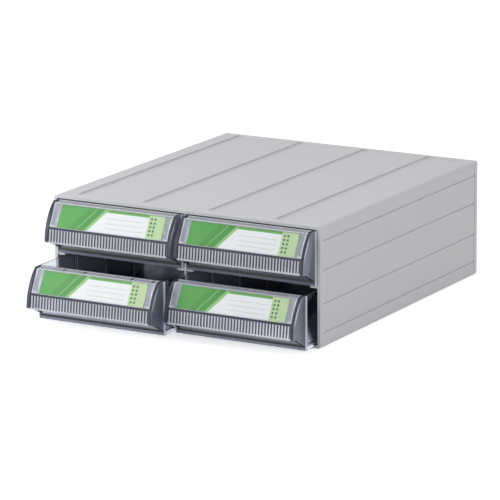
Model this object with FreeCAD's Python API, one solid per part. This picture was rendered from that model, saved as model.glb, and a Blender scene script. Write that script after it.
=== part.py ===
# Parts drawer box: a grey moulded case with four clear smoky drawers, two by two.
#
# Lengths are in millimetres. The origin is the middle of the case's underside, +Z is up,
# +X runs to the right of someone who faces the drawers, and -Y is the side they pull towards.
# Each drawer is drawn in a frame of its own: its middle across, the front face of its front
# wall, and the underside of its runners. It is then carried to its bay.

import FreeCAD, Part
from math import cos, radians, sin
import os

V = FreeCAD.Vector

# Case, outside
case_width = 300.0
case_depth = 340.0
case_height = 120.0
top_edge_radius = 2.5
bottom_edge_chamfer = 1.6
front_rim = 7.0
back_rim = 6.0
side_panel_sink = 0.4

# Case, walls
side_wall = 3.0
roof = 3.0
floor = 2.5
back_wall = 2.5

# Recessed bands in the roof, which run from front to back
band_count = 4
band_width = 37.5
band_sink = 1.4
band_front_margin = 13.0
band_back_margin = 4.0
band_corner_radius = 1.0

# Fine grooves along each side, measured up and down from the middle of the case
groove_offsets = (16.5, 45.5)
groove_width = 1.8
groove_sink = 0.9

# Runner rails at half height and the upright between the two columns
rail_thickness = 2.5
rail_width = 8.0
rail_setback = 0.5
partition_thickness = 2.0
partition_arm = 8.0
partition_groove_depth = 0.8
partition_fit = 0.1

# Drawers: fits in the case
ride_clearance = 0.3
upper_headroom = 0.7
lower_headroom = 2.7
flange_clearance = 0.4
closed_tail_gap = 0.5
front_overhang = 2.0

# Drawers: tub
flange_step = 1.1
flange_thickness = 1.8
flange_corner_radius = 1.5
tub_wall = 1.6
tub_floor = 1.8
tub_draft = 0.8
tub_corner_radius = 3.0
runner_height = 3.0
runner_width = 1.4
runner_spacing = 7.7
runner_nose = 2.0

# Drawers: bowed front, in the side view. Two tangent arcs draw its cheeks. Between the cheeks
# stand the flat grip, a ledge, the flat label panel and a flat top land.
belly_depth = 24.1
lower_radius = 53.0
lower_angle = 43.0
shoulder_radius = 19.0
shoulder_top_angle = 58.0
cheek_thickness = 3.4
cheek_foot = 5.0
cheek_toe = 4.5
cheek_corner_radius = 2.0
grip_top_angle = 15.2
ledge_depth = 1.9
ledge_rise = 1.8
panel_top_reach = 8.9
panel_top_drop = 1.3
shell_thickness = 2.8

# Drawers: label pocket, card and clear cover
pocket_lip = 0.5
pocket_depth = 1.5
label_thickness = 0.35
label_fit = 0.05
label_length = 119.2
label_margin = 0.3
cover_thickness = 0.9
cover_fit = 0.15
rim_width = 1.1
rim_height = 0.3
rim_foot_length = 4.5
rim_foot_height = 1.3
tab_length = 5.5
tab_height = 0.8
tab_low = 4.5
tab_high = 17.5

# Drawers: upright ribs of the grip and of the top land
rib_count = 40
rib_gap = 1.7
rib_height = 0.7
strip_start = 2.0
strip_length = 5.6

# Drawers: divider plates and the ribs that guide them
guide_first = 64.5
guide_pitch = 55.0
guide_count = 5
guide_rib_width = 1.2
guide_rib_height = 1.5
guide_drop = 4.0
divider_thickness = 1.4
divider_fit = 0.2
divider_drop = 6.0
divider_corner_radius = 4.0
divider_skip_count = 1
divider_count = 3

# How far each drawer stands open in the photograph
pulled_out = {
    "upper_left": 0.0,
    "upper_right": 0.0,
    "lower_left": 35.0,
    "lower_right": 19.5,
}

# Sizes worked out from the ones above
half_width = case_width / 2
half_depth = case_depth / 2
bay_half = (half_width - side_wall - partition_thickness / 2) / 2
bay_middle = partition_thickness / 2 + bay_half
inner_back = half_depth - back_wall
roof_underside = case_height - roof
headroom = upper_headroom + lower_headroom
drawer_height = (roof_underside - floor - rail_thickness - headroom) / 2 - ride_clearance
rail_top = roof_underside - upper_headroom - drawer_height - ride_clearance
rail_underside = rail_top - rail_thickness

flange_half = bay_half - flange_clearance
body_half = flange_half - flange_step
tub_length = case_depth + front_overhang - back_wall - closed_tail_gap
tub_bottom = runner_height
tub_inside_floor = tub_bottom + tub_floor
tub_inside_half = body_half - tub_wall

label_half = label_length / 2
front_half = body_half - cheek_thickness
pocket_half = front_half - pocket_lip
overlap = 1.0


def box(x0, x1, y0, y1, z0, z1):
    """A block between two corners."""
    return Part.makeBox(x1 - x0, y1 - y0, z1 - z0, V(x0, y0, z0))


def prism_along_y(points_xz, y0, y1):
    """A straight bar whose outline is drawn in the front view."""
    corners = [V(x, y0, z) for x, z in points_xz]
    face = Part.Face(Part.makePolygon(corners + corners[:1]))
    return face.extrude(V(0, y1 - y0, 0))


def prism_along_x(points_yz, x0, x1):
    """A straight bar whose outline is drawn in the side view."""
    corners = [V(x0, y, z) for y, z in points_yz]
    face = Part.Face(Part.makePolygon(corners + corners[:1]))
    return face.extrude(V(x1 - x0, 0, 0))


def edges_along(shape, axis, where):
    """Straight edges along one axis whose middle passes a test."""
    chosen = []
    for edge in shape.Edges:
        if not isinstance(edge.Curve, Part.Line):
            continue
        direction = edge.tangentAt(edge.FirstParameter)
        if abs(abs(direction.dot(axis)) - 1) > 1e-6:
            continue
        if where(edge.CenterOfMass):
            chosen.append(edge)
    return chosen


# The arcs of the cheeks: a long lower arc, then a tighter shoulder arc that ends level with the
# drawer's top. Angles are measured up from level, at the centre of each arc.
centre_step = lower_radius - shoulder_radius
shoulder_y = lower_radius - belly_depth - centre_step * cos(radians(lower_angle))
shoulder_z = drawer_height - shoulder_radius * sin(radians(shoulder_top_angle))
belly_bottom = shoulder_z - centre_step * sin(radians(lower_angle))
lower_arc = (lower_radius - belly_depth, belly_bottom, lower_radius)
shoulder_arc = (shoulder_y, shoulder_z, shoulder_radius)


def bow_point(arc, angle):
    """A point on one arc of the cheeks, in the side view at the drawer's middle."""
    centre_y, centre_z, radius = arc
    return V(0, centre_y - radius * cos(radians(angle)), centre_z + radius * sin(radians(angle)))


# The corners of the front between its cheeks, from its foot to the front wall
front_foot = bow_point(lower_arc, 0)
grip_top = bow_point(lower_arc, grip_top_angle)
panel_foot = grip_top + V(0, ledge_depth, ledge_rise)
panel_top = V(0, -panel_top_reach, drawer_height - panel_top_drop)
panel_length = (panel_top - panel_foot).Length
land_end = V(0, 0, drawer_height)


def inset(points, depth):
    """The corners of a bent line in the side view, moved square to its runs towards the drawer."""
    runs = [(end - start).normalize() for start, end in zip(points, points[1:])]
    inwards = [V(0, run.z, -run.y) for run in runs]
    moved = []
    for point, one, other in zip(points, inwards[:1] + inwards, inwards + inwards[-1:]):
        moved.append(point + (one + other) * (depth / (1 + one.dot(other))))
    return moved


def slab_on(foot, top, x0, x1, inner, outer, low, high):
    """A flat block on the run from foot to top, between two heights off it and two reaches up it."""
    along = (top - foot).normalize()
    outwards = V(0, -along.z, along.y)
    outline = []
    for reach, rise in ((low, inner), (low, outer), (high, outer), (high, inner)):
        corner = foot + along * reach + outwards * rise
        outline.append((corner.y, corner.z))
    return prism_along_x(outline, *sorted((x0, x1)))


def case_shell():
    """Roof, floor, sides, back and the two outer runner rails, as one moulding."""
    shell = box(-half_width, half_width, -half_depth, half_depth, 0, case_height)
    middle = case_height / 2
    along_y = V(0, 1, 0)
    shell = shell.makeFillet(top_edge_radius, edges_along(shell, along_y, lambda c: c.z > middle))
    shell = shell.makeChamfer(bottom_edge_chamfer, edges_along(shell, along_y, lambda c: c.z < middle))

    cuts = [box(-half_width + side_wall, half_width - side_wall,
                -half_depth - overlap, inner_back, floor, roof_underside)]
    band_pitch = case_width / band_count
    for number in range(band_count):
        band_x = -half_width + (number + 0.5) * band_pitch
        band = box(band_x - band_width / 2, band_x + band_width / 2,
                   -half_depth + band_front_margin, half_depth - band_back_margin,
                   case_height - band_sink, case_height + overlap)
        upright = edges_along(band, V(0, 0, 1), lambda c: True)
        cuts.append(band.makeFillet(band_corner_radius, upright))

    front = -half_depth + front_rim
    back = half_depth - back_rim
    for side in (-1, 1):
        face = side * half_width
        low = face - side * side_panel_sink
        panel = sorted((low, face + side * overlap))
        cuts.append(box(panel[0], panel[1], front, back,
                        bottom_edge_chamfer, case_height - top_edge_radius))
        groove = sorted((low - side * groove_sink, face + side * overlap))
        for offset in groove_offsets:
            for height in (middle - offset, middle + offset):
                cuts.append(box(groove[0], groove[1], front, back,
                                height - groove_width / 2, height + groove_width / 2))

    slot_half = partition_thickness / 2 + partition_fit
    cuts.append(box(-slot_half, slot_half, -half_depth + rail_setback - partition_fit, inner_back,
                    floor - partition_groove_depth, roof_underside + partition_groove_depth))
    shell = shell.cut(Part.makeCompound(cuts))

    rails = []
    for side in (-1, 1):
        ends = sorted((side * (half_width - side_wall), side * (half_width - side_wall - rail_width)))
        rails.append(box(ends[0], ends[1], -half_depth + rail_setback, inner_back,
                         rail_underside, rail_top))
    return shell.fuse(rails).removeSplitter()


def centre_partition():
    """The upright between the columns, with the inner runner rails as a cross arm."""
    front = -half_depth + rail_setback
    back = inner_back - partition_fit
    foot = floor - partition_groove_depth + partition_fit
    head = roof_underside + partition_groove_depth - partition_fit
    half = partition_thickness / 2
    upright = box(-half, half, front, back, foot, head)
    arm = box(-half - partition_arm, half + partition_arm, front, back, rail_underside, rail_top)
    return upright.fuse(arm).removeSplitter()


def guide_positions():
    """Where each divider can stand, from the front wall."""
    return [guide_first + number * guide_pitch for number in range(guide_count)]


def guide_ribs():
    """Pairs of upright ribs inside both side walls, one pair for each divider place."""
    gap_half = divider_thickness / 2 + divider_fit
    top = drawer_height - guide_drop
    ribs = []
    for y in guide_positions():
        for start in (y - gap_half - guide_rib_width, y + gap_half):
            for side in (-1, 1):
                outline = []
                for z, reach in ((tub_bottom, tub_wall / 2), (top, tub_wall / 2),
                                 (top, -guide_rib_height), (tub_bottom, -guide_rib_height)):
                    outline.append((side * (tub_inside_at(z) + reach), z))
                ribs.append(prism_along_y(outline, start, start + guide_rib_width))
    return ribs


def tub_inside_at(z):
    """Half the width inside the tub at a height, which narrows downwards by the draft."""
    return tub_inside_half - tub_draft * (drawer_height - z) / (drawer_height - tub_bottom)


def rear_corners(shape):
    """The two leaning corner edges at the rear of the tub or of its cavity."""
    chosen = []
    for edge in shape.Edges:
        low, high = sorted(vertex.Point.z for vertex in edge.Vertexes)
        if high - low > (drawer_height - tub_bottom) / 2 and edge.CenterOfMass.y > guide_first:
            chosen.append(edge)
    return chosen


def tub():
    """The open-topped box, with drafted sides, rounded rear corners and the guide ribs."""
    outside = [(-body_half + tub_draft, tub_bottom), (body_half - tub_draft, tub_bottom),
               (body_half, drawer_height), (-body_half, drawer_height)]
    outer = prism_along_y(outside, flange_thickness / 2, tub_length)
    outer = outer.makeFillet(tub_corner_radius, rear_corners(outer))
    above = drawer_height + overlap
    low_half = tub_inside_at(tub_inside_floor)
    high_half = tub_inside_at(above)
    inside = [(-low_half, tub_inside_floor), (low_half, tub_inside_floor),
              (high_half, above), (-high_half, above)]
    cavity = prism_along_y(inside, flange_thickness, tub_length - tub_wall)
    cavity = cavity.makeFillet(tub_corner_radius - tub_wall, rear_corners(cavity))
    return outer.cut(cavity.cut(Part.makeCompound(guide_ribs())))


def flange():
    """The front wall of the tub, which stands proud all round as a flange."""
    plate = box(-flange_half, flange_half, 0, flange_thickness, 0, drawer_height)
    corners = edges_along(plate, V(0, 1, 0), lambda c: c.z > drawer_height / 2)
    return plate.makeFillet(flange_corner_radius, corners)


def runners():
    """Two ribs under each side of the floor, with their rear ends cut back to lead in."""
    outline = [(flange_thickness / 2, 0), (tub_length - runner_nose, 0),
               (tub_length, runner_nose), (tub_length, tub_bottom + tub_floor / 2),
               (flange_thickness / 2, tub_bottom + tub_floor / 2)]
    outer_rib = body_half - tub_draft
    starts = []
    for side in (-1, 1):
        for inset in (0, runner_spacing - runner_width):
            far = side * (outer_rib - inset)
            near = side * (outer_rib - inset - runner_width)
            starts.append(sorted((near, far)))
    return [prism_along_x(outline, low, high) for low, high in starts]


def cheeks():
    """The two side plates of the bowed front, which stand proud of its label panel."""
    back = flange_thickness / 2
    start = bow_point(lower_arc, 0)
    end = bow_point(shoulder_arc, shoulder_top_angle)
    edges = []
    for arc, low, high in ((lower_arc, 0, lower_angle),
                           (shoulder_arc, lower_angle, shoulder_top_angle)):
        stops = (low, (low + high) / 2, high)
        edges.append(Part.Arc(*[bow_point(arc, angle) for angle in stops]).toShape())
    path = [end, V(0, back, end.z), V(0, back, cheek_toe), V(0, 0, cheek_toe),
            V(0, start.y + cheek_foot, start.z), start]
    edges += [Part.LineSegment(a, b).toShape() for a, b in zip(path, path[1:])]
    face = Part.Face(Part.Wire(Part.__sortEdges__(edges)))
    plates = []
    for x in (-body_half, front_half):
        plate = face.extrude(V(cheek_thickness, 0, 0))
        plate.translate(V(x, 0, 0))
        corner = edges_along(plate, V(1, 0, 0), lambda c: c.y < cheek_foot / 2 - belly_depth)
        plates.append(plate.makeFillet(cheek_corner_radius, corner))
    return plates


def bowed_shell():
    """The wall of the drawer front, open below so that fingers go in behind it."""
    outside = [front_foot, grip_top, panel_foot, panel_top, land_end]
    inside = inset(outside, shell_thickness)
    inside[0].z = front_foot.z
    outline = [(point.y, point.z) for point in outside + inside[::-1]]
    return prism_along_x(outline, -front_half, front_half)


def rib_grooves(foot, top, low, high):
    """The gaps between upright ribs on the run from foot to top, between two reaches up it."""
    pitch = (2 * front_half - rib_gap) / rib_count
    starts = [-front_half + number * pitch for number in range(rib_count + 1)]
    return [slab_on(foot, top, start, start + rib_gap, -rib_height, overlap, low, high)
            for start in starts]


def tray():
    """The clear moulding of one drawer."""
    body = tub().fuse([flange(), bowed_shell()] + runners() + cheeks())
    pocket = slab_on(panel_foot, panel_top, -pocket_half, pocket_half, -pocket_depth, overlap,
                     pocket_lip, panel_length - pocket_lip)
    grip_length = (grip_top - front_foot).Length
    grooves = rib_grooves(front_foot, grip_top, -overlap, grip_length + 2 * overlap)
    grooves += rib_grooves(panel_top, land_end, strip_start, strip_start + strip_length)
    return body.cut(Part.makeCompound([pocket] + grooves)).removeSplitter()


def label_card():
    """The printed card on the floor of the pocket."""
    inner = -pocket_depth + label_fit
    margin = pocket_lip + label_margin
    return slab_on(panel_foot, panel_top, -label_half, label_half, inner, inner + label_thickness,
                   margin, panel_length - margin)


def label_cover():
    """The clear window over the card, with a raised rim and a finger tab at each end."""
    inner = -pocket_depth + label_fit + label_thickness + label_fit
    outer = inner + cover_thickness
    half = pocket_half - cover_fit
    low = pocket_lip + cover_fit
    high = panel_length - low
    window = slab_on(panel_foot, panel_top, -half, half, inner, outer, low, high)
    raised = []
    for side in (-1, 1):
        end = side * half
        rim = side * (half - rim_width)
        foot = side * (half - rim_foot_length)
        tab = side * (half - rim_width - tab_length)
        for near, far, height, start, stop in (
                (end, rim, rim_height, low, high),
                (end, foot, rim_height, low, low + rim_foot_height),
                (rim, tab, tab_height, tab_low, tab_high)):
            raised.append(slab_on(panel_foot, panel_top, near, far, inner, outer + height, start, stop))
    return window.fuse(raised).removeSplitter()


def divider(y):
    """A divider plate that follows the draft of the side walls."""
    bottom = tub_inside_floor + divider_fit / 2
    top = drawer_height - divider_drop
    low_half = tub_inside_at(bottom) - divider_fit
    high_half = tub_inside_at(top) - divider_fit
    outline = [(-low_half, bottom), (low_half, bottom), (high_half, top), (-high_half, top)]
    half = divider_thickness / 2
    plate = prism_along_y(outline, y - half, y + half)
    corners = edges_along(plate, V(0, 1, 0), lambda c: c.z > drawer_height / 2)
    return plate.makeFillet(divider_corner_radius, corners)


def bay_place(name):
    """Where a drawer's own frame lies in the case."""
    x = -bay_middle if name.endswith("left") else bay_middle
    support = rail_top if name.startswith("upper") else floor
    return V(x, -half_depth - front_overhang - pulled_out[name], support + ride_clearance)


def save(node, shape, place=None):
    """Write one named piece, carried to its place."""
    solid = shape.copy()
    if place is not None:
        solid.translate(place)
    if not solid.isValid():
        raise ValueError(node + " is not a valid solid")
    solid.exportStep("parts/" + node + ".step")
    print(node, len(solid.Solids), "solid", round(solid.Volume), "mm3")


os.makedirs("parts", exist_ok=True)

save("case_shell", case_shell())
save("centre_partition", centre_partition())

tray_shape = tray()
card_shape = label_card()
cover_shape = label_cover()
divider_stands = guide_positions()[divider_skip_count:divider_skip_count + divider_count]
divider_shapes = [divider(y) for y in divider_stands]

for drawer in pulled_out:
    place = bay_place(drawer)
    save("tray_" + drawer, tray_shape, place)
    save("label_card_" + drawer, card_shape, place)
    save("label_cover_" + drawer, cover_shape, place)
    for number, plate in enumerate(divider_shapes, start=1):
        save("divider_" + drawer + "_" + str(number), plate, place)
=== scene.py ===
# %% [markdown]
# # A parts drawer box
# The object is a light grey moulded case with four clear smoky drawers, two by two. The packed
# model already holds every piece at its real size, so this lesson only dresses it: each moulding
# gets the small edge rounds of its tool, each surface gets its plastic or print, and a studio is
# set up around it. The frame is loaded first.

# %% Load the frame
import math
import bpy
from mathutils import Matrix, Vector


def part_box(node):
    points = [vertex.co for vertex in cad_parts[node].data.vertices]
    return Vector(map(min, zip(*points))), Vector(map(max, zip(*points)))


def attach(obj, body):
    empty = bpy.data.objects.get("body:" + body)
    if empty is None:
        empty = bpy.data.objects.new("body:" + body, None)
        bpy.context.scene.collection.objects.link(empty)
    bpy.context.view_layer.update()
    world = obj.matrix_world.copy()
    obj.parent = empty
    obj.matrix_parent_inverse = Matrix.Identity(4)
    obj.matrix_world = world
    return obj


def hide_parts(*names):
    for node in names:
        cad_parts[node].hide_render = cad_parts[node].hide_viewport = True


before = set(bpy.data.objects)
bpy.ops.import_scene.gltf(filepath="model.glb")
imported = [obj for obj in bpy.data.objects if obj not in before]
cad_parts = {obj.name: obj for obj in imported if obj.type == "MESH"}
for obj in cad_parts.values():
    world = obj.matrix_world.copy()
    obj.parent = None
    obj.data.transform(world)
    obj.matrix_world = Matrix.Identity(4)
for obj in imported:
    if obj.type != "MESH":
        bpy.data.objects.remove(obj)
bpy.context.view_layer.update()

from types import SimpleNamespace

import bmesh
import bpy
import numpy as np
from mathutils import Matrix, Vector

MM = 0.001
drawers = [name[len("tray_"):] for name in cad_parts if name.startswith("tray_")]
print("drawers:", ", ".join(drawers))

# %% [markdown]
# ## The camera
# The photograph looks down on the box from its front right corner with a long lens, so its
# perspective is slight. A camera could be aimed by eye until the outlines meet, but here its
# angles were worked out from the corners of the case, and are written as two angles, a roll, a
# distance and the point looked at.

# %% Camera
camera_azimuth = 29.61145
camera_elevation = 13.62993
camera_roll = -0.31585
camera_distance = 3.771
camera_lens = 266.672
sensor_width = 36.0
looked_at = Vector((-0.02271, -0.00143, 0.04211))


def aimed(azimuth, elevation, roll, distance):
    """A pose that looks back at the box from a direction around it."""
    turn = (Matrix.Rotation(math.radians(azimuth), 4, "Z")
            @ Matrix.Rotation(math.radians(90 - elevation), 4, "X")
            @ Matrix.Rotation(math.radians(roll), 4, "Z"))
    return Matrix.Translation(looked_at + turn @ Vector((0, 0, distance))) @ turn


camera_data = bpy.data.cameras.new("camera")
camera_data.lens = camera_lens
camera_data.sensor_width = sensor_width
camera = bpy.data.objects.new("camera", camera_data)
camera.matrix_world = aimed(camera_azimuth, camera_elevation, camera_roll, camera_distance)
bpy.context.scene.collection.objects.link(camera)
bpy.context.scene.camera = camera
print("camera at", [round(value, 3) for value in camera.matrix_world.translation])

# %% [markdown]
# ## Colours and nodes
# Colours are written as they would be read off a screen, in sRGB hex. The renderer works in
# linear light, so one function converts them. A material could be clicked together in the editor,
# but as text all its values can be read and changed in one place. So a second function adds a
# node, sets its options, and fills its inputs with plain values or from other nodes.

# %% Helpers for materials
def colour(hex_text):
    """An sRGB hex colour as linear red, green, blue and alpha."""
    linear = []
    for start in (0, 2, 4):
        value = int(hex_text[start:start + 2], 16) / 255
        linear.append(value / 12.92 if value <= 0.04045 else ((value + 0.055) / 1.055) ** 2.4)
    return (*linear, 1.0)


def add(tree, kind, inputs=None, **settings):
    """Adds one node. An input is a value, an output, or a node that stands for its first output."""
    node = tree.nodes.new("ShaderNode" + kind)
    for name, value in settings.items():
        setattr(node, name, value)
    for socket, value in (inputs or {}).items():
        if isinstance(value, bpy.types.Node):
            value = value.outputs[0]
        if isinstance(value, bpy.types.NodeSocket):
            tree.links.new(value, node.inputs[socket])
        else:
            node.inputs[socket].default_value = value
    return node


def new_material(name):
    """A material with an empty node tree, and the tree."""
    material = bpy.data.materials.new(name)
    material.use_nodes = True
    material.node_tree.nodes.clear()
    print("material:", name)
    return material, material.node_tree


# %% [markdown]
# ## The case plastic
# The case is light grey ABS. Its mould was spark eroded, which leaves a fine even grain: the eye
# gets a soft, wide shine and no mirror. A flat colour alone would look computed on such big faces,
# so a slow drift in tone and gloss is laid over it. The grain of the real tool is near 0.1 mm, too
# fine to show at this scale, so it is drawn as coarse as a millimetre and very shallow.

# %% Case plastic
abs_grain = 1.0 * MM
abs_grain_depth = 0.03 * MM
abs_drift = 90 * MM


def moulded_abs():
    """Light grey ABS from a spark eroded mould."""
    material, tree = new_material("light_grey_moulded_abs")
    place = add(tree, "TexCoord").outputs["Object"]
    drift = add(tree, "TexNoise", {"Vector": place, "Scale": 1 / abs_drift, "Detail": 2.0})
    tone = add(tree, "Mix", {0: drift.outputs["Fac"], 6: colour("C6C7CA"), 7: colour("CCCDD0")},
               data_type="RGBA")
    gloss = add(tree, "MapRange", {"Value": drift.outputs["Fac"], "To Min": 0.42, "To Max": 0.52})
    grain = add(tree, "TexNoise", {"Vector": place, "Scale": 1 / abs_grain, "Detail": 2.0})
    bump = add(tree, "Bump", {"Height": grain.outputs["Fac"], "Strength": 0.5,
                              "Distance": abs_grain_depth})
    shader = add(tree, "BsdfPrincipled", {"Base Color": tone.outputs[2], "Roughness": gloss,
                                          "IOR": 1.53, "Normal": bump})
    add(tree, "OutputMaterial", {"Surface": shader})
    return material


# %% [markdown]
# ## Light through clear plastic
# Light bends on its way through a clear wall. The renderer can follow that from the eye, but
# lamps can't shine through a bending surface without a lot of noise. The noise could be beaten
# with many more samples. Instead shadow rays and light that was already scattered pass straight
# through a thin tinted film, while the eye still sees the full plastic.

# %% Light through clear plastic
polystyrene_ior = 1.59


def let_light_through(tree, surface, tint):
    """The given surface for the eye, and a plain tinted film for lamps and scattered light."""
    path = add(tree, "LightPath")
    straight = add(tree, "Math", {0: path.outputs["Is Shadow Ray"],
                                  1: path.outputs["Is Diffuse Ray"]}, operation="MAXIMUM")
    film = add(tree, "BsdfTransparent", {"Color": colour(tint)})
    return add(tree, "MixShader", {0: straight, 1: surface, 2: film})


# %% [markdown]
# ## The smoky plastic
# The drawers are clear polystyrene with a smoke dye, glossy because their moulds were polished.
# A wall of 2 mm barely darkens what is behind it, while an edge is looked at along the wall and
# goes nearly black with a blue cast. A tinted surface could not do both, so the dye is a volume
# that absorbs along the path. The gloss varies a little in flow marks, some 17 mm apart.
#
# Parts of the mould are textured, and there the surface is frosted: it scatters a share of the
# light, its haze. A second material could hold that, but a volume has to be entered and left
# through one and the same material. So each face carries its own tint and haze, and the one
# material reads them. On some faces the tint and haze paint a highlight or a shade.

# %% Smoky plastic
smoke_colour = "8C93AE"
smoke_density = 90.0
flow_marks = 16.67 * MM
frost_roughness = 0.4


def smoky_polystyrene():
    """Clear polystyrene with a smoke dye, polished or frosted face by face, with painted light and
    shade on some faces.
    """
    material, tree = new_material("smoky_polystyrene")
    place = add(tree, "TexCoord").outputs["Object"]
    tint = add(tree, "Attribute", attribute_name="tint").outputs["Color"]
    haze = add(tree, "Attribute", attribute_name="haze").outputs["Fac"]
    flow = add(tree, "TexNoise", {"Vector": place, "Scale": 1 / flow_marks, "Detail": 2.0})
    gloss = add(tree, "MapRange", {"Value": flow.outputs["Fac"], "To Min": 0.02, "To Max": 0.06})
    frosted = add(tree, "Math", {0: haze, 1: 0.0}, operation="GREATER_THAN")
    frost = add(tree, "Math", {0: frosted, 1: frost_roughness}, operation="MULTIPLY")
    rough = add(tree, "Math", {0: gloss, 1: frost}, operation="MAXIMUM")
    clear_share = add(tree, "Math", {0: 1.0, 1: haze}, operation="SUBTRACT")
    glass = add(tree, "BsdfPrincipled", {"Base Color": tint, "Roughness": rough,
                                         "IOR": polystyrene_ior,
                                         "Transmission Weight": clear_share})
    smoke = add(tree, "VolumeAbsorption", {"Color": colour(smoke_colour),
                                           "Density": smoke_density})
    add(tree, "OutputMaterial", {"Surface": let_light_through(tree, glass, "F4F5F8"),
                                 "Volume": smoke})
    return material


# %% [markdown]
# ## The clear plastics of the label window
# The window over the card is colourless polystyrene, and the finger tabs at its ends come from a
# textured part of the mould. The smoky plastic could be used again with a paler dye, but without
# any dye no volume is needed. So both are plain surfaces: one lets all light in, and the other
# scatters a share of it.

# %% Window plastics
tab_tint = "F0F2F9"
tab_haze = 0.6


def clear_polystyrene():
    """Colourless polished polystyrene."""
    material, tree = new_material("clear_polystyrene")
    glass = add(tree, "BsdfPrincipled", {"Base Color": colour("FCFDFD"), "Roughness": 0.03,
                                         "IOR": polystyrene_ior, "Transmission Weight": 1.0})
    add(tree, "OutputMaterial", {"Surface": let_light_through(tree, glass, "F8F9F9")})
    return material


def frosted_polystyrene():
    """Colourless polystyrene from a textured mould."""
    material, tree = new_material("frosted_tab_polystyrene")
    frost = add(tree, "BsdfPrincipled", {"Base Color": colour(tab_tint),
                                         "Roughness": frost_roughness, "IOR": polystyrene_ior,
                                         "Transmission Weight": 1.0 - tab_haze})
    add(tree, "OutputMaterial", {"Surface": let_light_through(tree, frost, "E6E8EE")})
    return material


# %% [markdown]
# ## The printed card
# Each label is a strip of coated white card, printed in greens. The print is a plain design: a
# green panel with slanting lines at the left, a bar along the top, a white field with writing
# lines, and a pale tag with tick boxes at the right. It could be painted as a picture, but
# straight shapes are exact and sharp as nodes: each ink has a mask that is 1 where it prints.
#
# The card leans back, so Object coordinates would shorten the print. The masks read a map in
# millimetres that lies on the card itself. All these numbers are millimetres on the card.

# %% Card measures
panel_foot = 30.0
panel_slant = 0.85
stripe_width = 4.0
line_start = panel_foot - 9.0
line_width = 1.0
inner_foot = panel_foot - 18.0
bar_height = 2.6
tag_start = 101.0
rule_pitch = 5.0
rule_width = 0.5
rules_left = panel_foot + 24.0
rules_right = tag_start - 4.0
rules_low = rule_pitch - 1.0
rules_head = 8.0
box_pitch = 4.0
box_size = 2.4
box_columns = 2
box_rows = 5
box_left = tag_start + 2.0
box_right = box_left + box_columns * box_pitch
box_low = 3.0
box_top = box_low + box_rows * box_pitch
paper = "F4F4F8"
inks = {"rules": "C3CFC6", "bar": "5CAA42", "tag": "C2DDAA", "stripe": "90C474",
        "panel": "389230", "line": "8CC573", "inner panel": "46A038", "boxes": "55805A"}


# %% Masks
def all_of(tree, *masks):
    """1 where every one of some masks is 1."""
    result = masks[0]
    for mask in masks[1:]:
        result = add(tree, "Math", {0: result, 1: mask}, operation="MULTIPLY")
    return result


def band(tree, value, low, high):
    """1 where a value lies between two limits."""
    return all_of(tree, add(tree, "Math", {0: value, 1: low}, operation="GREATER_THAN"),
                  add(tree, "Math", {0: value, 1: high}, operation="LESS_THAN"))


def marks(tree, value, start, pitch, size):
    """1 on every mark of a row of equal marks."""
    place = add(tree, "Math", {0: value, 1: start}, operation="SUBTRACT")
    return band(tree, add(tree, "Math", {0: place, 1: pitch}, operation="MODULO"), 0.0, size)


# %% Card print
def printed_card(height):
    """Coated card with a generic print in greens."""
    material, tree = new_material("printed_card")
    split = add(tree, "SeparateXYZ", {"Vector": add(tree, "UVMap", uv_map="card_mm")})
    across = split.outputs["X"]
    up = split.outputs["Y"]
    lean = add(tree, "Math", {0: up, 1: panel_slant}, operation="MULTIPLY")
    slant = add(tree, "Math", {0: across, 1: lean}, operation="SUBTRACT")
    masks = {
        "rules": all_of(tree, marks(tree, up, 0.0, rule_pitch, rule_width),
                        band(tree, across, rules_left, rules_right),
                        band(tree, up, rules_low, height - rules_head)),
        "bar": add(tree, "Math", {0: up, 1: height - bar_height}, operation="GREATER_THAN"),
        "tag": add(tree, "Math", {0: across, 1: tag_start}, operation="GREATER_THAN"),
        "stripe": add(tree, "Math", {0: slant, 1: panel_foot + stripe_width},
                      operation="LESS_THAN"),
        "panel": add(tree, "Math", {0: slant, 1: panel_foot}, operation="LESS_THAN"),
        "line": band(tree, slant, line_start, line_start + line_width),
        "inner panel": add(tree, "Math", {0: slant, 1: inner_foot}, operation="LESS_THAN"),
        "boxes": all_of(tree, marks(tree, across, box_left, box_pitch, box_size),
                        marks(tree, up, box_low, box_pitch, box_size),
                        band(tree, across, box_left, box_right),
                        band(tree, up, box_low, box_top)),
    }
    print_colour = colour(paper)
    for name, mask in masks.items():
        print_colour = add(tree, "Mix", {0: mask, 6: print_colour, 7: colour(inks[name])},
                           data_type="RGBA").outputs[2]
    card = add(tree, "BsdfPrincipled", {"Base Color": print_colour, "Roughness": 0.45})
    add(tree, "OutputMaterial", {"Surface": card})
    return material


# %% [markdown]
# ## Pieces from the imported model
# Every real moulding has small rounds on its edges, and they are what catches the light. A packed
# piece arrives as loose triangles with knife edges. A Bevel modifier alone would do nothing to
# them, because loose triangles share no edge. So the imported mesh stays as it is, a copy of it is
# merged, its flat triangles are joined into whole faces, and its edges are bevelled. The copy
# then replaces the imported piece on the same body.

# %% Helpers for pieces
merge_distance = 0.002 * MM
flat_angle = math.radians(0.5)
sharp_angle = math.radians(35)


def merged_copy(node):
    """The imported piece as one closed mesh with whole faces."""
    shape = bmesh.new()
    shape.from_mesh(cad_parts[node].data)
    bmesh.ops.remove_doubles(shape, verts=shape.verts, dist=merge_distance)
    bmesh.ops.dissolve_limit(shape, angle_limit=flat_angle, verts=shape.verts, edges=shape.edges)
    shape.normal_update()
    return shape


def round_edges(shape, edges, radius, segments):
    """Bevels some edges to a round of one radius."""
    bmesh.ops.bevel(shape, geom=edges, offset=radius, offset_type="OFFSET", segments=segments,
                    profile=0.5, affect="EDGES", clamp_overlap=True, material=-1)


def sharp_edges(shape):
    """The edges where two faces meet at a clear angle."""
    return [edge for edge in shape.edges
            if edge.is_manifold and edge.calc_face_angle() > sharp_angle]


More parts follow.
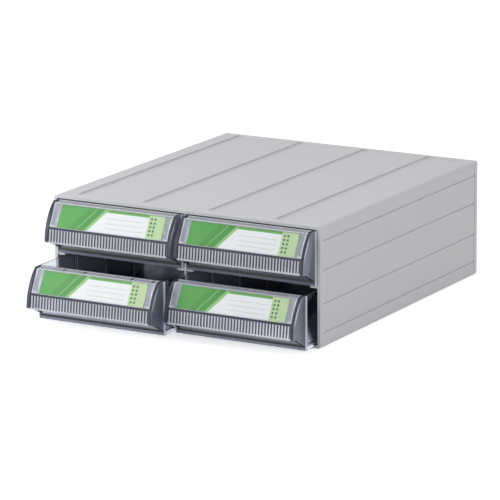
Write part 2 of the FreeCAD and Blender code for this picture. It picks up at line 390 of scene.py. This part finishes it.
def new_piece(shape, node, body, slot, *materials):
    """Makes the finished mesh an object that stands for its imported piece."""
    name = node + "_moulding"
    for face in shape.faces:
        face.smooth = True
    mesh = bpy.data.meshes.new(name)
    shape.to_mesh(mesh)
    shape.free()
    for material in materials:
        mesh.materials.append(material)
    piece = bpy.data.objects.new(name, mesh)
    bpy.context.scene.collection.objects.link(piece)
    shading = piece.modifiers.new("flat faces stay flat", "WEIGHTED_NORMAL")
    shading.keep_sharp = False
    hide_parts(node)
    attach(piece, body)
    print(name, "has", len(mesh.polygons), "faces")


# %% [markdown]
# ## The case and its upright
# The case is one moulding, with edge rounds of about a third of a millimetre. The upright between
# the columns slides into it and is the same plastic. Their shapes could be modelled anew, but the
# packed ones are already right, so only the edges are worked on.

# %% Case
case_round = 0.35 * MM
case_plastic = moulded_abs()
for node in ("case_shell", "centre_partition"):
    shape = merged_copy(node)
    round_edges(shape, sharp_edges(shape), case_round, segments=3)
    new_piece(shape, node, "case", "case_plastic", case_plastic)

# %% [markdown]
# ## The finishes and painted light of a tray
# A tray is one clear moulding: tub, front flange, and the bowed front with its two cheeks. Most
# of it is polished. The lands at the top and the rims are frosted light. The rib crests, the band
# under them, the edges of the ribs that guide the dividers, the sides of the flange and the proud
# parts of the cheeks are frosted white too, which paints highlights on them. The gaps between the
# grip's ribs, the ledge under the label, the edges of the cheeks and the top edges of the tub are
# where light gets lost inside the plastic, so their dark slate is painted shade. A painted shadow
# band crosses the flange under the front, and painted shade darkens the flange's foot and the
# narrow bits of the lands. Each finish is a tint and a haze, and they are written on the faces
# themselves.

# %% Finishes and painted light
finishes_and_painted_light = {
    "polished": ("E9ECF4", 0.0),
    "misted": ("B8C8E0", 0.2),
    "half clear": ("C4C8D8", 0.1),
    "pale frost": ("D8DBE8", 0.45),
    # The white rib crests and the band under them are partly frost and partly a painted highlight.
    "frosted crest highlight": ("F2F4FA", 0.48),
    # The dark slate between the ribs is painted shade.
    "painted gap shade": ("454B64", 0.45),
    # A frost darkened to paint the shade at the foot of the flange and on the narrow bits of the
    # lands.
    "frost and painted shade": ("74788C", 0.6),
    # A white frost: plain frost on the lands, and a painted highlight on edges and on the proud
    # part of a cheek.
    "white frost and painted highlight": ("E8EAF2", 0.75),
    # Painted shade on edges that are seen along the plastic: cheek edges, the ledge and the tub
    # rims.
    "painted edge shade": ("252A3E", 0.75),
    # A painted shadow band across the flange, under the belly of the front.
    "painted shadow band": ("12141C", 0.8),
}
smoky_plastic = smoky_polystyrene()


def set_tint_and_haze(shape, faces, name):
    """Writes the tint and the haze of a finish, or of a painted light or shade, on some faces."""
    vectors = shape.faces.layers.float_vector
    numbers = shape.faces.layers.float
    tint = vectors.get("tint") or vectors.new("tint")
    haze = numbers.get("haze") or numbers.new("haze")
    hex_text, share = finishes_and_painted_light[name]
    for face in faces:
        face[tint] = colour(hex_text)[:3]
        face[haze] = share


# %% [markdown]
# ## Finding a face
# The faces could be picked one by one in the editor, and again on each of the four trays. Here a
# face is known by how far it leans back, how wide it is and where it lies, so one set of rules
# does for all. The leans are the ones of the real front: a steep grip with its ribs, a ledge, a
# label panel, and nearly flat lands at the top.

# %% Tests on faces
grip_lean = 7.6
panel_lean = 27.2
ledge_lean = 46.5
land_lean = 81.7
same_direction = 0.9995
nearly = 0.99
mostly = 0.9
near = 0.05 * MM


def faces_sideways(face):
    """True for an upright wall that looks left or right."""
    return abs(face.normal.x) > nearly


def leans(face, angle):
    """True where a face looks forwards and leans back by an angle in degrees."""
    lean = math.radians(angle)
    return face.normal.dot(Vector((0, -math.cos(lean), math.sin(lean)))) > same_direction


def extent(face, axis):
    """The size of a face along one axis."""
    places = [vert.co[axis] for vert in face.verts]
    return max(places) - min(places)


def foremost(faces):
    """A point and the normal of the plane of the foremost of some parallel faces."""
    first = max(faces, key=lambda face: face.normal.dot(face.calc_center_median()))
    return first.calc_center_median(), first.normal.copy()


def ahead_of(face, plane):
    """How far the middle of a face stands in front of a plane."""
    point, normal = plane
    return (face.calc_center_median() - point).dot(normal)


# %% [markdown]
# ## Measuring a tray
# The rules need a few places on each tray: its middle, the flat front of its flange, the outer
# sides of its cheeks, and the planes of its label panel and its rib crests. They could be copied
# from the drawing, but measured on the mesh they stay right if the drawing changes.

# %% Tray measures
X, Y, Z = range(3)
rib_wall_area = 12 * MM * MM
cheek_area = 300 * MM * MM
cheek_width = 3.4 * MM
flange_depth = 3.0 * MM
panel_width = 100 * MM
foot_band = 1.8 * MM


def front_of(node, left):
    """Where the flat front of the flange lies: the foremost of the points furthest left."""
    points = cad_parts[node].data.vertices
    return min(point.co.y for point in points if point.co.x < left + merge_distance)


def cheek_sides(shape, front):
    """The outer sides of the two cheeks."""
    return [face for face in shape.faces if faces_sideways(face) and face.calc_area() > cheek_area
            and max(vert.co.y for vert in face.verts) < front + flange_depth]


def grip_faces(shape, middle, outer):
    """The crests and the gaps of the ribbed grip, between the cheeks."""
    return [face for face in shape.faces if leans(face, grip_lean)
            and abs(face.calc_center_median().x - middle) < outer - cheek_width]


def on_rib(wall, front):
    """True for a side wall of one of the grip's ribs."""
    return (faces_sideways(wall) and wall.calc_area() < rib_wall_area
            and wall.calc_center_median().y < front)


def measure_tray(shape, node):
    """The places on a tray that the rules for its finishes use."""
    low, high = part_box(node)
    middle = (low[X] + high[X]) / 2
    front = front_of(node, low[X])
    panel = foremost([face for face in shape.faces
                      if leans(face, panel_lean) and extent(face, X) > panel_width])
    outer = max(abs(face.calc_center_median().x - middle) for face in cheek_sides(shape, front))
    grip = grip_faces(shape, middle, outer)
    band_top = min(vert.co.z for face in grip for vert in face.verts) + foot_band
    print(node, "front", round(front / MM, 1), "mm, cheeks", round(2 * outer / MM, 1), "mm apart")
    return SimpleNamespace(middle=middle, front=front, foot=low[Z], top=high[Z], panel=panel,
                           outer=outer, ribs=foremost(grip), band_top=band_top)


# %% [markdown]
# ## Splitting faces
# Some finishes change in the middle of a flat face, and so does painted light: a light band with a
# painted highlight runs under the ribs, a painted shadow band crosses the flange, and a cheek has a
# painted highlight where it stands proud of the label panel. A picture painted on the face could
# show that too, but here the face is cut along the line, so the change is sharp.

# %% Splits
# The painted shadow band across the flange, by height above its foot.
shadow_band_low = 2.6 * MM
shadow_band_high = 5.3 * MM


def cut_faces(shape, faces, point, normal):
    """Splits some faces where a plane crosses them. Dictionaries keep one order on every run."""
    edges = dict.fromkeys(edge for face in faces for edge in face.edges)
    verts = dict.fromkeys(vert for face in faces for vert in face.verts)
    bmesh.ops.bisect_plane(shape, geom=[*faces, *edges, *verts], plane_co=point,
                           plane_no=normal, dist=merge_distance)


def cut_across(shape, faces, axis, place):
    """Splits some faces at a place on one axis."""
    normal = Vector((axis == X, axis == Y, axis == Z))
    cut_faces(shape, faces, place * normal, normal)


def split_tray(shape, tray):
    """Splits the faces of a tray where a finish or a painted light or shade changes."""
    # A cheek is cut where it stands proud of the label panel, for its painted highlight.
    cut_faces(shape, cheek_sides(shape, tray.front), *tray.panel)
    # The grip is cut where the light band under the ribs, with its painted highlight, begins.
    grip = grip_faces(shape, tray.middle, tray.outer)
    rib_walls = [face for face in shape.faces if on_rib(face, tray.front)]
    cut_across(shape, grip + rib_walls, Z, tray.band_top)
    # The flange is cut for its painted shadow band and where the cheeks end.
    for axis, place in ((Z, tray.foot + shadow_band_low), (Z, tray.foot + shadow_band_high),
                        (X, tray.middle - tray.outer), (X, tray.middle + tray.outer)):
        flange = [face for face in shape.faces if leans(face, 0)
                  and abs(face.calc_center_median().y - tray.front) < merge_distance]
        cut_across(shape, flange, axis, place)


# %% [markdown]
# ## The rules
# One function takes a face and gives the name of its finish or of the light or shade painted on it.
# It starts at the rear with the tub, and then goes over the front: cheeks, flange, grip, ledge,
# lands and label panel. The small functions before it know one region each.

# %% Rules for the finishes and painted light
guide_width = 3.0 * MM
guide_height = 20.0 * MM
land_end = 2.0 * MM
looks_down = -0.5


def on_guide_rib(face):
    """True for the upright inner edge of a rib that guides a divider."""
    return (abs(face.normal.x) > mostly and extent(face, Y) < guide_width
            and extent(face, Z) > guide_height)


def rib_frost_and_painted_light(face, tray, up):
    """Crests and the band under the ribs are light with a painted highlight, and the gaps between
    the crests are painted shade.
    """
    if up < tray.band_top or (leans(face, grip_lean) and ahead_of(face, tray.ribs) > -near):
        return "frosted crest highlight"
    return "painted gap shade"


def cheek_finish_and_painted_light(face, tray, across):
    """The edge of a cheek is painted shade, and its outer side has a painted highlight where it
    stands proud.
    """
    if across <= tray.outer - near or not faces_sideways(face):
        return "painted edge shade"
    return "white frost and painted highlight" if ahead_of(face, tray.panel) > near else "misted"


def flange_finish_and_painted_shadow(up):
    """The flange is half clear, with a painted shadow band near its lower edge and painted shade
    under that.
    """
    if up > shadow_band_high:
        return "half clear"
    return "painted shadow band" if up > shadow_band_low else "frost and painted shade"


def face_finish_or_painted_light(face, tray):
    """The name of the finish of one face of a tray, or of the light or shade painted on it."""
    centre = face.calc_center_median()
    across = abs(centre.x - tray.middle)
    back = centre.y - tray.front
    # Painted shade on the top edges of the tub walls.
    if back > near and face.normal.z > mostly and centre.z > tray.top - near:
        return "painted edge shade"
    # A painted highlight on the sides of the flange beyond the cheeks.
    if across > tray.outer + near and back < flange_depth:
        return "white frost and painted highlight"
    # A painted highlight on the edges of the guide ribs.
    if back > flange_depth and on_guide_rib(face):
        return "white frost and painted highlight"
    if back > near or face.normal.z < looks_down:
        return "polished"
    if across > tray.outer - cheek_width - near and back < -near:
        return cheek_finish_and_painted_light(face, tray, across)
    if leans(face, 0):
        return flange_finish_and_painted_shadow(centre.z - tray.foot)
    if leans(face, grip_lean) or faces_sideways(face):
        return rib_frost_and_painted_light(face, tray, centre.z)
    # Painted shade on the ledge under the label.
    if leans(face, ledge_lean):
        return "painted edge shade"
    # The lands are frosted, with painted shade on their narrow bits.
    if leans(face, land_lean):
        return "frost and painted shade" if extent(face, X) < land_end else "white frost and painted highlight"
    return "pale frost" if leans(face, panel_lean) else "polished"


# %% [markdown]
# ## The four trays
# The edges of a tray don't all have the same round. The outer corners of the cheeks and the
# crests of the ribs are the roundest, and all the rest is just broken. One bevel over everything
# could not tell them apart, so the edges are chosen by the walls they lie on and bevelled in
# turn. That comes after the finishes, because a bevel hands the finish of a face on to its new
# strips.

# %% Trays
cheek_round = 0.8 * MM
crest_round = 0.45 * MM
tray_round = 0.25 * MM
hardly = 0.1
a_little = 0.2


def looks_outwards(face):
    """True for a face of the front's outside that looks forwards or up, and not sideways."""
    forwards = face.normal.y < -a_little
    return abs(face.normal.x) < hardly and (forwards or face.normal.z > mostly)


def outward_corners(shape, wall_test):
    """Convex corners between sideways walls that pass a test and the front's outside."""
    chosen = []
    for edge in shape.edges:
        if edge.is_manifold and edge.is_convex:
            one, other = edge.link_faces
            if any(faces_sideways(wall) and looks_outwards(face) and wall_test(wall)
                   for wall, face in ((one, other), (other, one))):
                chosen.append(edge)
    return chosen


def on_cheek(wall, tray):
    """True for the outer side wall of a cheek."""
    centre = wall.calc_center_median()
    return (abs(abs(centre.x - tray.middle) - tray.outer) < merge_distance
            and centre.y < tray.front)


def tray_piece(drawer):
    """One tray with its finishes and its rounded edges."""
    node = "tray_" + drawer
    shape = merged_copy(node)
    set_tint_and_haze(shape, shape.faces, "polished")
    tray = measure_tray(shape, node)
    split_tray(shape, tray)
    counts = {}
    for face in shape.faces:
        name = face_finish_or_painted_light(face, tray)
        set_tint_and_haze(shape, [face], name)
        counts[name] = counts.get(name, 0) + 1
    print(node, "faces by finish:", counts)
    crests = outward_corners(shape, lambda wall: on_rib(wall, tray.front))
    cheeks = outward_corners(shape, lambda wall: on_cheek(wall, tray))
    print(node, "has", len(crests), "crest edges and", len(cheeks), "cheek edges")
    round_edges(shape, cheeks, cheek_round, segments=4)
    round_edges(shape, [edge for edge in crests if edge.is_valid], crest_round, segments=3)
    round_edges(shape, sharp_edges(shape), tray_round, segments=2)
    new_piece(shape, node, "drawer_" + drawer, "tray_plastic", smoky_plastic)


for drawer in drawers:
    tray_piece(drawer)

# %% [markdown]
# ## The cards
# A card is a flat strip with cut edges, so nothing is rounded. The editor could unwrap it, but its
# map would have no known size. Here the map is measured in millimetres: across from the left end,
# and up from the rear edge of the card's foot, under the foot and up the front. Each of these
# strips adds its own length, which is its height over the cosine of its lean.

# %% Cards
looks_forward = -0.4


def lay_map(shape):
    """Gives the card a map in millimetres, and returns its two sizes on it."""
    strips = []
    for face in shape.faces:
        if face.normal.y < looks_forward and not faces_sideways(face):
            heights = [vert.co.z for vert in face.verts]
            strips.append((min(heights), max(heights), -face.normal.y))
    strips.sort()
    levels = [strips[0][0]]
    lengths = [0.0]
    for low, high, cosine in strips:
        levels.append(high)
        lengths.append(lengths[-1] + (high - low) / cosine)
    left = min(vert.co.x for vert in shape.verts)
    right = max(vert.co.x for vert in shape.verts)
    layer = shape.loops.layers.uv.new("card_mm")
    for face in shape.faces:
        for loop in face.loops:
            rise = float(np.interp(loop.vert.co.z, levels, lengths))
            loop[layer].uv = ((loop.vert.co.x - left) / MM, rise / MM)
    return (right - left) / MM, lengths[-1] / MM


card_material = None
for drawer in drawers:
    shape = merged_copy("label_card_" + drawer)
    card_length, card_height = lay_map(shape)
    if card_material is None:
        card_material = printed_card(card_height)
        print("card", round(card_length, 1), "by", round(card_height, 1), "mm")
    new_piece(shape, "label_card_" + drawer, "drawer_" + drawer, "label_card", card_material)

# %% [markdown]
# ## The label covers
# A cover is a thin clear window with a raised rim, which clips over the card, and a finger tab at
# each end with a textured finish. The tabs could be pieces of their own, but on the real cover
# they are one moulding with it. So they stay in its mesh and their faces, found by being narrow,
# take a second material.

# %% Covers
cover_round = 0.15 * MM
narrow = 5.0 * MM
clear_plastic = clear_polystyrene()
tab_plastic = frosted_polystyrene()
for drawer in drawers:
    shape = merged_copy("label_cover_" + drawer)
    for face in shape.faces:
        if extent(face, X) < narrow:
            face.material_index = 1
    round_edges(shape, sharp_edges(shape), cover_round, segments=2)
    new_piece(shape, "label_cover_" + drawer, "drawer_" + drawer, "clear_plastic",
              clear_plastic, tab_plastic)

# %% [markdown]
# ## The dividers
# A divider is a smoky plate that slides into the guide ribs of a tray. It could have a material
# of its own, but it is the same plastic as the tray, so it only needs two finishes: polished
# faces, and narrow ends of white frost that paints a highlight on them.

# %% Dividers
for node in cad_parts:
    if node.startswith("divider_"):
        shape = merged_copy(node)
        set_tint_and_haze(shape, shape.faces, "polished")
        # The narrow ends get a painted highlight.
        set_tint_and_haze(shape, [face for face in shape.faces if extent(face, X) < narrow],
                   "white frost and painted highlight")
        round_edges(shape, sharp_edges(shape), tray_round, segments=2)
        drawer = "_".join(node.split("_")[1:3])
        new_piece(shape, node, "drawer_" + drawer, "divider_plastic", smoky_plastic)

# %% [markdown]
# ## The studio
# The box stands on a white sweep that goes pure white to the eye. Stronger lamps could do that,
# but they would wash out the object. So the lamps stay at a level at which a colour renders as it
# is written, and the floor and the world add white only to what is seen straight, in a mirror or
# through clear plastic, and never to light that has been scattered. The floor keeps the shadow
# of the box.

# %% Floor
floor_size = 9.0
floor_glow = 0.6
half_bounce = 0.5


def seen_by_eye(tree):
    """1 on rays that still carry a sharp view, and 0 on scattered light."""
    path = add(tree, "LightPath")
    sharp = add(tree, "Math", {0: path.outputs["Is Camera Ray"],
                               1: path.outputs["Is Glossy Ray"]}, operation="MAXIMUM")
    sharp = add(tree, "Math", {0: sharp, 1: path.outputs["Is Transmission Ray"]},
                operation="MAXIMUM")
    unscattered = add(tree, "Math", {0: path.outputs["Diffuse Depth"], 1: half_bounce},
                      operation="LESS_THAN")
    return all_of(tree, sharp, unscattered)


floor_material, tree = new_material("white_sweep")
paint = add(tree, "BsdfDiffuse", {"Color": colour("E0E0E0")})
strength = add(tree, "Math", {0: seen_by_eye(tree), 1: floor_glow}, operation="MULTIPLY")
glow = add(tree, "Emission", {"Color": colour("FFFFFF"), "Strength": strength})
add(tree, "OutputMaterial", {"Surface": add(tree, "AddShader", {0: paint, 1: glow})})
floor_shape = bmesh.new()
bmesh.ops.create_grid(floor_shape, x_segments=1, y_segments=1, size=floor_size)
floor_mesh = bpy.data.meshes.new("floor")
floor_shape.to_mesh(floor_mesh)
floor_shape.free()
floor_mesh.materials.append(floor_material)
floor = bpy.data.objects.new("floor", floor_mesh)
bpy.context.scene.collection.objects.link(floor)

# %% [markdown]
# ## The light all round
# A real sweep stands in a room: bright around the object and dimmer at the ceiling, which keeps
# reflections in the roof of the case soft. A picture of a studio could be wrapped around the
# scene, but a fade by height is enough. The camera itself always sees white, and scattered light
# gets a lower even level.

# %% World
ambient = 0.45
ceiling = 0.3
fade_start = 0.2
fade_end = 0.6
world = bpy.data.worlds.new("studio")
bpy.context.scene.world = world
world.use_nodes = True
tree = world.node_tree
tree.nodes.clear()
direction = add(tree, "TexCoord").outputs["Generated"]
height = add(tree, "SeparateXYZ", {"Vector": direction}).outputs["Z"]
fade = add(tree, "MapRange", {"Value": height, "From Min": fade_start, "From Max": fade_end,
                              "To Min": 1.0, "To Max": ceiling})
camera_ray = add(tree, "LightPath").outputs["Is Camera Ray"]
backdrop = add(tree, "Math", {0: fade, 1: camera_ray}, operation="MAXIMUM")
level = add(tree, "Mix", {0: seen_by_eye(tree), 2: ambient, 3: backdrop}, data_type="FLOAT")
sky = add(tree, "Background", {"Color": colour("FFFFFF"), "Strength": level})
add(tree, "OutputWorld", {"Surface": sky})
print("world:", world.name)

# %% [markdown]
# ## The lamps
# The photograph has soft light from above, a stronger soft box at the left front, and a little
# fill from the right. A small card by the left drawers and a narrow strip at the right side draw
# the thin light edges of the plastic. Bare point lamps would give hard shadows, so each lamp is
# a rectangle. All face the box, so two angles and a distance place them.

# %% Lamps
def soft_box(name, azimuth, elevation, distance, width, height, level):
    """A rectangular lamp that faces the box. Level 1 lights a facing surface as it is written."""
    lamp = bpy.data.lights.new(name, "AREA")
    lamp.shape = "RECTANGLE"
    lamp.size = width
    lamp.size_y = height
    lamp.energy = level * math.pi ** 2 * distance ** 2
    holder = bpy.data.objects.new(name, lamp)
    holder.matrix_world = aimed(azimuth, elevation, 0, distance)
    bpy.context.scene.collection.objects.link(holder)
    print(name, round(lamp.energy, 1), "W")


soft_box("top_light", azimuth=-45, elevation=75, distance=1.6, width=1.6, height=1.6, level=0.35)
soft_box("key_light", azimuth=-55, elevation=18, distance=1.2, width=0.55, height=0.4, level=0.5)
soft_box("left_card", azimuth=-38, elevation=4, distance=0.55, width=0.3, height=0.25, level=0.05)
soft_box("right_strip", azimuth=112, elevation=15, distance=1.6, width=0.15, height=1.2, level=0.1)
soft_box("front_fill", azimuth=50, elevation=30, distance=2.0, width=1.0, height=1.0, level=0.14)

bpy.context.scene.view_settings.view_transform = "Standard"
